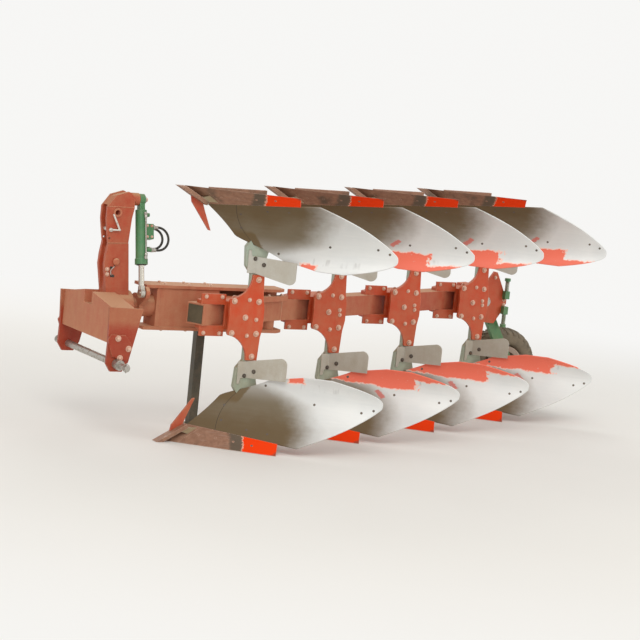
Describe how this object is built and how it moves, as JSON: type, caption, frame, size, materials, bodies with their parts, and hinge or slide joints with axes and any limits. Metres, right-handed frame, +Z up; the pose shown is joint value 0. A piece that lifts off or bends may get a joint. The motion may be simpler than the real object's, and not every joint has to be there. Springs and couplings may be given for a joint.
{
  "type": "moldboard plough",
  "caption": "Mounted reversible moldboard plough: headstock with turnover cylinder, slanting beam with paired upper and lower bodies, rear depth wheel and parking stand.",
  "frame": {"origin": "on the floor under the middle of the whole plough's box", "axes": "+X back along the line of travel, +Y to the plough's right, +Z up"},
  "size_m": [4.32, 2.2119, 1.68],
  "materials": {
    "red_paint": "satin, dusty and scratched",
    "green_paint": "gloss, dusty",
    "pale_paint": "satin, earth-stained",
    "rim_paint": "satin, dusty",
    "dark_steel": "satin",
    "polished_board": "polished by soil",
    "worn_steel": "worn and rusty",
    "bare_steel": "oiled",
    "chrome_rod": "bright",
    "hose_rubber": "matt",
    "black_plastic": "matt",
    "tyre": "dusty"
  },
  "bodies": {
    "headstock": {"headstock_box": "red_paint", "headstock_tower": "red_paint", "side_plates": "red_paint", "link_shaft": "bare_steel", "top_link_pin": "bare_steel", "axle_bearing": "red_paint", "cylinder_pin": "bare_steel"},
    "cylinder": {"cylinder_barrel": "green_paint", "valve_block": "green_paint", "cylinder_hoses": "hose_rubber"},
    "rod": {"cylinder_rod": "chrome_rod"},
    "plough": {"turning_axle": "bare_steel", "front_frame": "red_paint", "main_beam": "red_paint", "beam_caps": "black_plastic", "width_bar": "red_paint", "leg_consoles": "red_paint", "leg_plates": "red_paint", "lower_shanks": "pale_paint", "lower_boards": "polished_board", "lower_shares": "worn_steel", "lower_points": "worn_steel", "lower_knives": "red_paint", "lower_landsides": "worn_steel", "lower_trash_boards": "pale_paint", "lower_stays": "red_paint", "upper_shanks": "pale_paint", "upper_boards": "polished_board", "upper_shares": "worn_steel", "upper_points": "worn_steel", "upper_knives": "red_paint", "upper_landsides": "worn_steel", "upper_trash_boards": "pale_paint", "upper_stays": "red_paint", "wheel_bracket": "red_paint", "arm_pin": "bare_steel", "stop_spindles": "green_paint", "stand_sleeve": "red_paint"},
    "arm": {"wheel_arm": "green_paint"},
    "wheel": {"wheel_rim": "rim_paint", "tyre": "tyre"},
    "stand": {"parking_stand": "dark_steel"}
  },
  "joints": [
    {"name": "turnover", "type": "hinge", "parent": "headstock", "child": "plough", "pos_m": [-1.895, -0.10504, 0.84], "axis": [-1, 0, 0], "range_deg": [0, 180]},
    {"name": "cylinder_swing", "type": "hinge", "parent": "headstock", "child": "cylinder", "pos_m": [-1.821, -0.10504, 1.54], "axis": [1, 0, 0], "range_deg": [0, 23.14]},
    {"name": "rod_slide", "type": "slide", "parent": "cylinder", "child": "rod", "axis": [0, -0.2265, -0.974], "range_m": [-0.089, 0.1921]},
    {"name": "wheel_arm_swing", "type": "hinge", "parent": "plough", "child": "arm", "pos_m": [1.535, 0.79296, 0.84], "axis": [0, -1, 0], "range_deg": [0, 118.55]},
    {"name": "wheel_spin", "type": "hinge", "parent": "arm", "child": "wheel", "pos_m": [1.85, 0.95496, 0.31], "axis": [0, 1, 0], "continuous": true},
    {"name": "stand_slide", "type": "slide", "parent": "plough", "child": "stand", "axis": [0, 0, 1], "range_m": [0, 0.5]}
  ],
  "couplings": [
    {"joint": "cylinder_swing", "follows": "turnover", "ratio": 0.12801}
  ]
}
